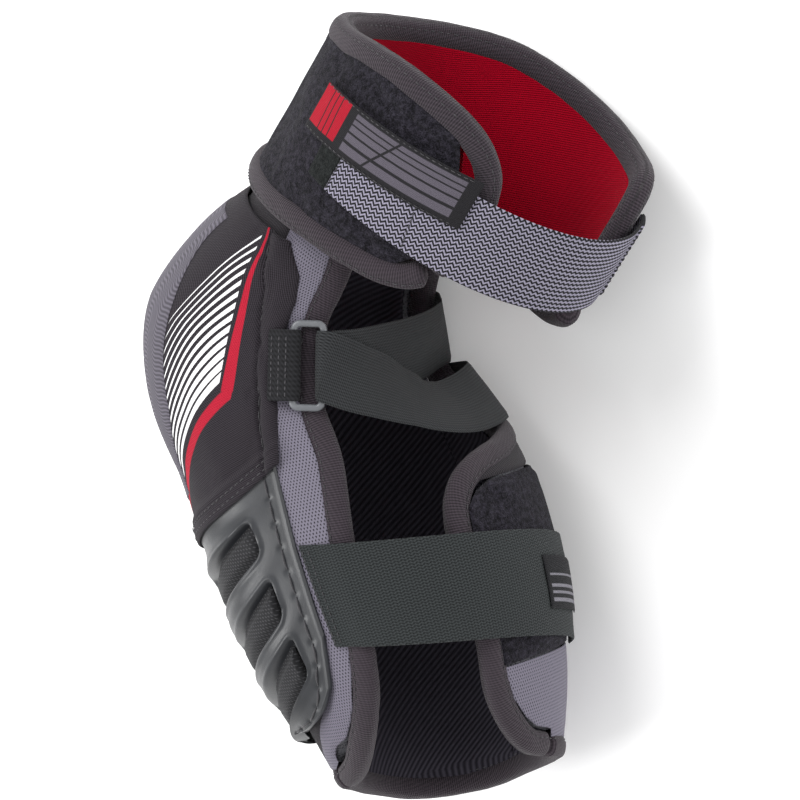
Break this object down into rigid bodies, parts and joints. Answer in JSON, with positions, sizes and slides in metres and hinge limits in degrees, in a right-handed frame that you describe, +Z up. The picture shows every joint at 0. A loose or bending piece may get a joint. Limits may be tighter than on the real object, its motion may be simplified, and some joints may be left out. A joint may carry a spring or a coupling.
{
  "type": "hockey elbow pad",
  "caption": "Left-arm elbow pad for ice hockey: padded forearm sleeve with moulded guard, capped elbow, hinged upper-arm cuff and closing straps.",
  "frame": {"origin": "centre of the bounding box in X and Y, at the height of the surface that the pad lies on", "axes": "+Y from the wrist end to the upper-arm end along the forearm, +X towards the opening of the arm channel, +Z up, out of the inner side of the arm"},
  "size_m": [0.2426, 0.3419, 0.1409],
  "materials": {
    "padding_foam": "closed-cell foam",
    "cap_foam": "closed-cell foam",
    "black_lining": "ribbed knit",
    "red_lining": "ribbed knit",
    "spacer_mesh": "woven mesh",
    "black_knit": "plain knit",
    "twill": "twill weave with a printed pattern",
    "centre_panel": "printed twill",
    "loop_pile": "loop pile",
    "edge_tape": "ribbed edge tape",
    "moulded_guard": "satin moulding",
    "cap_shell": "smooth",
    "ring_plastic": "smooth",
    "webbing": "fine twill webbing",
    "woven_elastic": "woven elastic",
    "zigzag_elastic": "woven elastic with zigzag lines",
    "hook_pile": "hook pile",
    "label_cloth": "woven label with plain bars"
  },
  "bodies": {
    "sleeve": {"back_fabric": "black_knit", "cap_centre_panel": "centre_panel", "elbow_cap_cover": "twill", "elbow_cap_foam": "cap_foam", "elbow_cap_shell": "cap_shell", "elbow_gusset": "black_knit", "elbow_strap_fixed_run": "webbing", "lateral_mesh": "spacer_mesh", "medial_binding": "edge_tape", "medial_mesh": "spacer_mesh", "ring_tab": "webbing", "slash_guard": "moulded_guard", "slash_guard_foam": "padding_foam", "sleeve_foam": "padding_foam", "sleeve_lining": "black_lining", "strap_ring": "ring_plastic", "wing_binding": "edge_tape", "wing_foam": "padding_foam", "wing_lining": "black_lining", "wing_loop_panel": "loop_pile", "wing_mesh": "spacer_mesh", "wrist_binding": "edge_tape"},
    "cuff": {"cuff_foam": "padding_foam", "cuff_lining": "red_lining", "cuff_loop_panel": "loop_pile", "cuff_outer_fabric": "black_knit", "cuff_rim_binding": "edge_tape", "cuff_foot_roll": "edge_tape"},
    "bicep_strap": {"bicep_strap": "zigzag_elastic", "bicep_strap_tab": "hook_pile", "bicep_strap_hook": "hook_pile", "bicep_label": "label_cloth"},
    "forearm_strap": {"forearm_strap": "woven_elastic", "forearm_strap_hook": "hook_pile", "forearm_strap_label": "label_cloth"},
    "elbow_strap": {"elbow_strap_free_run": "webbing"}
  },
  "joints": [
    {"name": "cuff_flex", "type": "hinge", "parent": "sleeve", "child": "cuff", "pos_m": [-0.0468, 0.1248, 0.0689], "axis": [0, 0, 1], "range_deg": [0, 40], "deforming": ["elbow_gusset"]},
    {"name": "bicep_strap_open", "type": "hinge", "parent": "cuff", "child": "bicep_strap", "pos_m": [0.0955, 0.047, 0.03465], "axis": [0.766, 0.6428, 0], "range_deg": [0, 100]},
    {"name": "forearm_strap_open", "type": "hinge", "parent": "sleeve", "child": "forearm_strap", "pos_m": [-0.02739, -0.06398, 0.13745], "axis": [0.092, -0.9939, -0.0605], "range_deg": [0, 90]},
    {"name": "elbow_strap_open", "type": "hinge", "parent": "sleeve", "child": "elbow_strap", "pos_m": [-0.00565, 0.02898, 0.1233], "axis": [-0.2179, -0.9639, 0.1528], "range_deg": [0, 80]}
  ]
}
